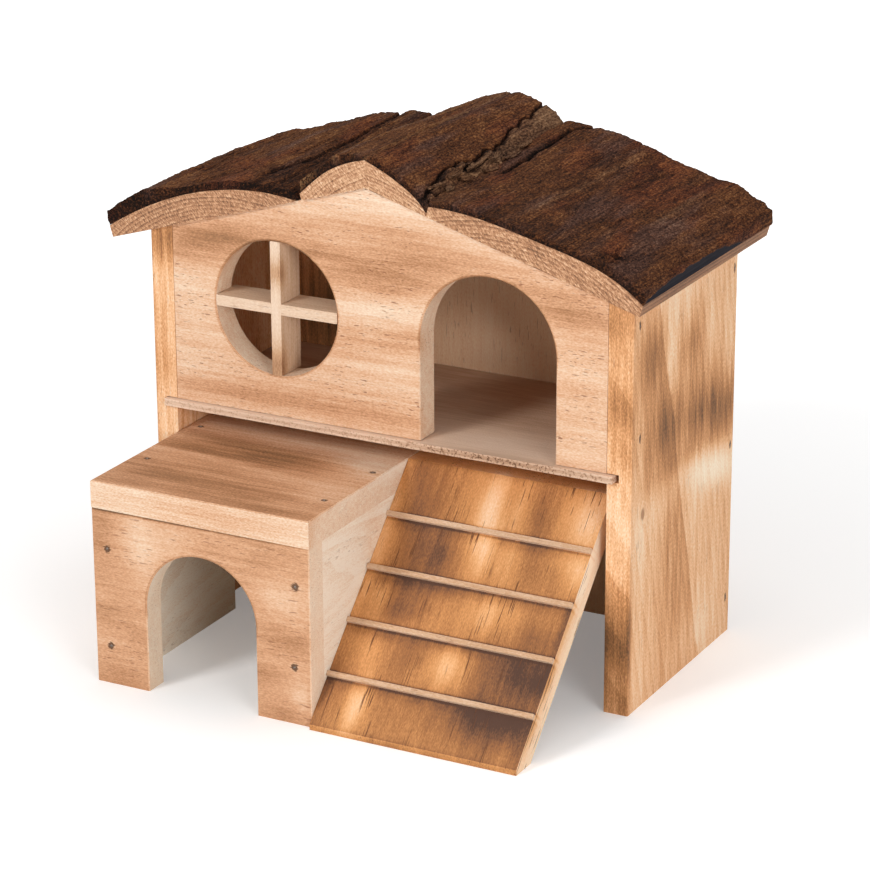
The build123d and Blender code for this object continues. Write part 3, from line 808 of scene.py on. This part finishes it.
def bark_material():
    """Dry pine bark: dark in the furrows, brown and rust on the plates, violet on old scales,
    greyer where it is frayed, tan where it is chipped, and bluish black where only the smooth
    inner bark is left. The colour darkens with the rise, which follows the relief, so the dark of
    the furrows and rifts is partly painted shade."""
    s = Finish("bark_brown", 0.85, 0.12)
    house = s.house_place()
    rise = s.node("Attribute", {}, output="Fac", attribute_name="rise")
    bare = s.node("Attribute", {}, output="Fac", attribute_name="bare")
    grey = s.node("Attribute", {}, output="Fac", attribute_name="grey")
    tan = s.node("Attribute", {}, output="Fac", attribute_name="tan")
    patch = s.noise(house, (1 / 13, 1 / 38, 1 / 20), 2, detail=4)
    fine = s.noise(house, (1 / 0.7, 1 / 1.4, 1 / 0.7), 5, detail=3, roughness=0.75)
    lines = s.noise(house, (1 / 0.8, 1 / 20, 1 / 0.8), 8, detail=3, roughness=0.6)
    # partly painted shade: lower relief gives darker bark, and the front end, lowered by
    # front_shade, is painted shade
    value = s.total(0.52, (rise, 0.28), (s.add(fine, -0.5), 2.0), (s.add(lines, -0.5), 0.95))
    brown = s.ramp(value, [
        (0.0, (20, 10, 6)), (0.25, (52, 28, 15)), (0.5, (85, 49, 28)), (0.75, (118, 74, 43)),
        (1.0, (156, 110, 70)),
    ])
    rust = s.ramp(value, [
        (0.0, (22, 10, 6)), (0.3, (66, 33, 20)), (0.55, (98, 53, 32)), (1.0, (158, 96, 54)),
    ])
    violet = s.ramp(value, [
        (0.0, (22, 14, 12)), (0.4, (68, 44, 36)), (0.7, (98, 70, 60)), (1.0, (128, 102, 90)),
    ])
    frayed = s.ramp(value, [
        (0.0, (20, 13, 9)), (0.3, (76, 52, 37)), (0.55, (112, 82, 60)), (1.0, (162, 128, 96)),
    ])
    colour = s.mix(s.step(patch, 0.5, 0.68), brown, rust)
    other = s.noise(house, (1 / 9, 1 / 55, 1 / 12), 31, detail=3)
    colour = s.mix(s.step(other, 0.5, 0.68, 0.0, 0.75), colour, violet)
    colour = s.mix(grey, colour, frayed)
    specks = s.noise(house, (1 / 0.6, 1 / 1.1, 1 / 0.6), 14, detail=1)
    colour = s.mix(s.step(specks, 0.7, 0.76, 0.0, 0.55), colour, (158, 96, 52))
    chips = s.noise(house, (1 / 0.7, 1 / 2.5, 1 / 0.7), 19, detail=2)
    colour = s.mix(s.times(tan, s.step(chips, 0.42, 0.56)), colour, (158, 116, 78))
    inner = s.ramp(s.total(0.5, (s.add(lines, -0.5), 0.9)), [
        (0.0, (20, 19, 23)), (1.0, (48, 45, 52)),
    ])
    colour = s.mix(bare, colour, inner)
    rough = s.total(fine, (lines, 0.5))
    s.bump(s.times(rough, s.total(1.0, (bare, -0.9))), 0.7)
    return s.paint(colour)


bark_finish = bark_material()


def wander(y, places, seed, jag=0.7, step=8):
    """x of a rift that passes through the given (y, x) places, with a ragged course."""
    ys, xs = zip(*places)
    return np.interp(y, ys, xs) + jag * clouds(y / step, y * 0, seed, 3)


def groove(distance, width):
    """1 in the middle of a groove, falling off as exp(-d squared)."""
    return np.exp(-(distance / width) ** 2)


def shape_left(x, y, edge, relief, tints):
    """Left slab: short furrows all over, a long deep rift with thin layers beyond it, and a
    raised corner at the back."""
    rift_x = wander(y, [(0, -60), (17, -56.7), (45, -52.1), (69, -52.4), (113, -53.5)], 71)
    rift = groove(x - rift_x, 0.9) * ease(y, 6, 22)
    short = np.abs(clouds(x / 2.2, y / 13, 73, 2))
    cuts = groove(short, 0.07) * ease(clouds(x / 8, y / 10, 74, 2), -0.4, 0.2)
    layers = np.round(clouds((x + 0.04 * y) / 1.7, y / 70, 75, 2) * 2.5) / 2.5
    beyond = ease(x - rift_x, 0.5, 1.5)
    corner = ease(x, -58, -48) * ease(y, 60, 113)
    tints["tan"] += 0.2 * beyond * ease(layers, 0.3, 0.6) * ease(y, 20, 70)
    lift = 2.4 * corner + 1.3 * ease(-x, 90, 106) - 0.3
    back = np.interp(x, [-118, -112, -106, -100, -95, -88, -76, -68, -60, -52],
                     [0, -0.6, -1.5, -2.6, -2.3, -1.3, -1.2, 0, 1.2, 0.4])
    lift = lift + back * ease(y, 60, 113) + 0.5 * beyond
    relief = relief - 3.2 * rift - 0.6 * cuts * (1 - beyond)
    # partly painted shade: the relief beyond the rift is lowered by 0.7, which darkens these
    # layers beside the ridge slab; they are partly their own dark brown, and the lift above gives
    # 0.5 of it back to the shape
    return relief + (0.5 * layers - 0.7) * beyond, lift


def shape_right(x, y, edge, relief, tints):
    """Right slab: a tongue along the rift that curls up at the back, two long low folds, a
    frayed hole near the front, and an eave whose edge is worn down to the inner bark."""
    rift_x = wander(y, [(0, 24.6), (60, 25.2), (78, 25.6), (103, 25.8), (108, 28), (113, 31)], 82)
    rift = groove(x - rift_x, 0.8) * ease(y, 38, 60)
    tongue = ease(rift_x - x, 0.2, 0.9)
    curl = 0.5 * ease(y, 45, 62) - 0.5 * ease(y, 85, 112)
    tints["grey"] += 0.25 * tongue * ease(-y, -60, -40)
    fold = groove(x - 50.3 - 0.05 * y + 0.5 * clouds(y / 6, x / 9, 85, 2), 1.3)
    fold = fold * ease(y, 6, 30) * ease(-y, -113, -95)
    fold += groove(x - 85.3, 1.2) * ease(y, 44, 56) * ease(-y, -100, -84)
    tints["grey"] += 0.32 * fold
    torn = ease(clouds(x / 1.6, y / 2.2, 83, 2), -0.1, 0.2)
    hole = groove(x - 88.5, 3.0) * groove(y - 8.5, 5.0) * torn
    worn = 4.6 * np.clip(1 - ((y - 43) / 45) ** 2, 0, 1) ** 0.8
    bare = ease(worn - edge + 0.7 * clouds(y / 5, x / 5, 84, 3), -0.3, 0.4) * ease(worn, 0.5, 1.2)
    tints["bare"] += bare
    back = np.interp(x, [28, 50, 56, 61, 66, 72, 83, 88, 99, 109],
                     [3.0, 2.4, 2.0, 1.1, 0.5, 0.2, 0.6, 1.8, 0.7, 1.6])
    relief = relief - 2.6 * rift + 0.4 * fold - 1.8 * hole
    return relief * (1 - bare) - 0.5 * bare, back * ease(y, 50, 113) + curl * tongue


def ridge_lift(x, y):
    """Ridge slabs sink to the left of the ridge and rise to its right, more and more to the
    back, in mm."""
    back = np.interp(x, [-34, -24, -12, -7, -2, 4, 9], [-1.7, -2.6, -3.3, -2.0, 0.0, 1.3, 1.7])
    return back * ease(y, 25, 113)


def shape_ridge_left(x, y, edge, relief, tints):
    """Left ridge slab: thin layers along it, chipped where it meets its neighbour and at its
    front corner."""
    layers = np.round(clouds((x + 0.03 * y) / 1.8, y / 80, 91, 2) * 2.5) / 2.5
    tints["tan"] += 0.4 * groove(x + 6.6, 0.5) + 0.8 * groove(x + 32, 3) * groove(y, 6)
    tints["tan"] += 0.35 * ease(layers, 0.3, 0.6) * ease(-x, 8, 14)
    return relief + 0.3 * layers, ridge_lift(x, y)


def shape_ridge_right(x, y, edge, relief, tints):
    """Right ridge slab: a jagged rift runs down it. Beyond the rift the bark is a frayed grey
    flap, whole and lifted at the back and broken into crumpled bits to the front."""
    rift_x = wander(y, [(0, 17.0), (10, 15.3), (30, 13.6), (58.5, 14.8), (74, 12.3), (109, 8.3),
                        (113, 8.0)], 93, jag=0.9, step=6)
    rift = groove(x - rift_x, 0.55)
    flap = ease(x - rift_x, 0.1, 0.6)
    lifted = flap * (1.0 - 1.2 * ease(y, 70, 113))
    broken = flap * ease(-y, -72, -56)
    bits = np.round(clouds((x + 0.1 * y) / 2.4, y / 9, 94, 2) * 1.6) / 1.6
    cracks = groove(np.abs(clouds((x + 0.1 * y) / 2.2, y / 8, 95, 2)), 0.1)
    tints["grey"] += flap * (0.7 - 0.3 * ease(-y, -40, -20))
    tints["tan"] += 0.4 * groove(x + 6.6, 0.5)
    relief = relief - 1.7 * rift + broken * (0.7 * bits - 1.5 * cracks)
    return relief, ridge_lift(x, y) + lifted + 0.5 * broken


barks = [
    make_bark("slab_left_bark", 101, 200, shape_left, along=225, front_shade=1.2, hang=3.0,
              pale=0.12),
    make_bark("ridge_slab_left_bark", 202, 90, shape_ridge_left, coarse=0.7, front_shade=1.0,
              pale=0.14),
    make_bark("ridge_slab_right_bark", 303, 110, shape_ridge_right, coarse=0.4, pale=0.14),
    make_bark("slab_right_bark", 404, 200, shape_right, along=225, coarse=0.6, pale=-0.14),
]


# ---- loose flakes and brads --------------------------------------------------------------
bark_trees = [tree_of(piece.data) for piece in barks]


def roof_height(x, y):
    """Height of the rough bark at a place on the roof."""
    above = Vector(((x + SHIFT) / 1000, (y + FRONT) / 1000, 1))
    hits = (tree.ray_cast(above, Vector((0, 0, -1)))[0] for tree in bark_trees)
    return max(hit.z for hit in hits if hit is not None) * 1000


def make_flake(name, x, y, length, width, turn, lean, curl, fray, seed):
    """Loose curled flake of bark that lies on the roof.

    Along it the half width is a half ellipse's with a torn edge. Its middle surface leans to
    one side and curls up like a parabola at its long edges, and it is 0.5 mm thick, thinning to
    nothing at the rim.
    """
    t, v = np.meshgrid(np.linspace(-1, 1, 26), np.linspace(-1, 1, 12), indexing="ij")
    half = width / 2 * np.sqrt(np.clip(1.001 - t ** 2, 0, 1)) ** 0.6
    half = half * (1 + 0.35 * clouds(t * 3, np.sign(v) * 2, seed, 3))
    along, across = t * length / 2, v * half
    middle = (lean * across + curl * v ** 2 + 0.5 * clouds(t * 2, v * 2, seed + 5, 3)
              + 0.5 * curl * t ** 2)
    thick = 0.25 * np.sqrt(np.clip(1.001 - v ** 2, 0, 1))
    angle = math.radians(turn)
    px = x + across * math.cos(angle) + along * math.sin(angle)
    py = y + along * math.cos(angle) - across * math.sin(angle)
    ground = max(roof_height(x + dx, y + dy) for dx in (-1, 0, 1) for dy in (-3, 0, 3))
    upper = np.stack([px, py, ground + middle + thick], -1)
    lower = np.stack([px, py, ground + middle - thick], -1)
    points, faces = closed_loops(np.concatenate([upper, lower[:, ::-1]], 1))
    shade = np.full(len(points), 0.1)
    grey = np.full(len(points), fray)
    none = np.zeros(len(points))
    return new_piece(name, points, faces, bark_finish, "bark", rise=shade, grey=grey, tan=none,
                     bare=none)


FLAKES = [   # x, y, length, width, turn, lean, curl, fray
    (17.5, 9, 11, 2.6, 8, 0.3, 0.5, 0.6), (20.5, 13, 8, 2.2, -14, -0.2, 0.6, 0.9),
    (18.0, 22, 9, 3.0, 4, 0.4, 0.4, 0.8), (20.5, 27, 7, 1.8, 20, 0.1, 0.5, 0.5),
    (18.0, 36, 12, 2.8, -6, 0.3, 0.5, 0.9), (21.0, 44, 9, 2.4, 10, -0.3, 0.6, 0.6),
    (18.5, 52, 10, 2.6, -8, 0.2, 0.5, 0.9), (20.5, 62, 13, 2.6, 4, -0.1, 0.6, 0.6),
    (19.5, 76, 12, 2.2, -4, 0.2, 0.5, 0.8),
]
for number, spot in enumerate(FLAKES, 1):
    make_flake(f"loose_flake_{number}", *spot, seed=500 + number)


def steel_material():
    """Dull steel of a sunken brad, a little rusty."""
    s = Finish("brad_steel", 0.42, 0.5)
    s.shader.inputs["Metallic"].default_value = 0.85
    spots = s.noise(s.house_place(), (2.5, 2.5, 2.5), 3, detail=3)
    return s.paint(s.ramp(spots, [(0.35, (150, 143, 134)), (0.7, (104, 78, 62))]))


def make_brads(name, places, radius, out, finish):
    """Heads of sunken brads: low domes of height 0.25 (1 - r squared), r in units of the radius,
    on a ring grid, closed by a flat back inside the wood. out is the way that they face."""
    out = Vector(out)
    side = out.orthogonal().normalized()
    other = out.cross(side)
    rings = [0.02, 0.5, 0.85, 1.0, 1.0, 0.02]     # the last two are the back's
    sides = 14
    r, turn = np.meshgrid(rings, np.linspace(0, 2 * math.pi, sides, endpoint=False), indexing="ij")
    height = 0.25 * (1 - r ** 2)
    height[-2:] = -0.3
    dome = (np.cos(turn) * r * radius)[..., None] * side + np.zeros(3)
    dome = dome + (np.sin(turn) * r * radius)[..., None] * np.array(other)
    dome = dome + (height + 0.02)[..., None] * np.array(out)
    ring, step = np.meshgrid(np.arange(len(rings)), np.arange(sides), indexing="ij")
    next_ring, next_step = (ring + 1) % len(rings) * sides, (step + 1) % sides
    faces = np.stack([ring * sides + step, ring * sides + next_step, next_ring + next_step,
                      next_ring + step], -1).reshape(-1, 4)
    points = np.concatenate([dome.reshape(-1, 3) + place for place in places])
    faces = np.concatenate([faces + dome[..., 0].size * k for k in range(len(places))])
    return new_piece(name, points, faces, finish)


steel = steel_material()
for name, pits, radius, out in (
        ("brads_tunnel_front", TUNNEL_FRONT_PITS, 0.55, -ALONG_Y),
        ("brads_tunnel_top", TUNNEL_TOP_PITS, 0.45, ALONG_Z),
        ("brads_right_wall", RIGHT_WALL_PITS, 0.4, ALONG_X),
        ("brads_left_wall", LEFT_WALL_PITS, 0.4, -ALONG_X)):
    make_brads(name, [place for place, _ in pits], radius, out, steel)
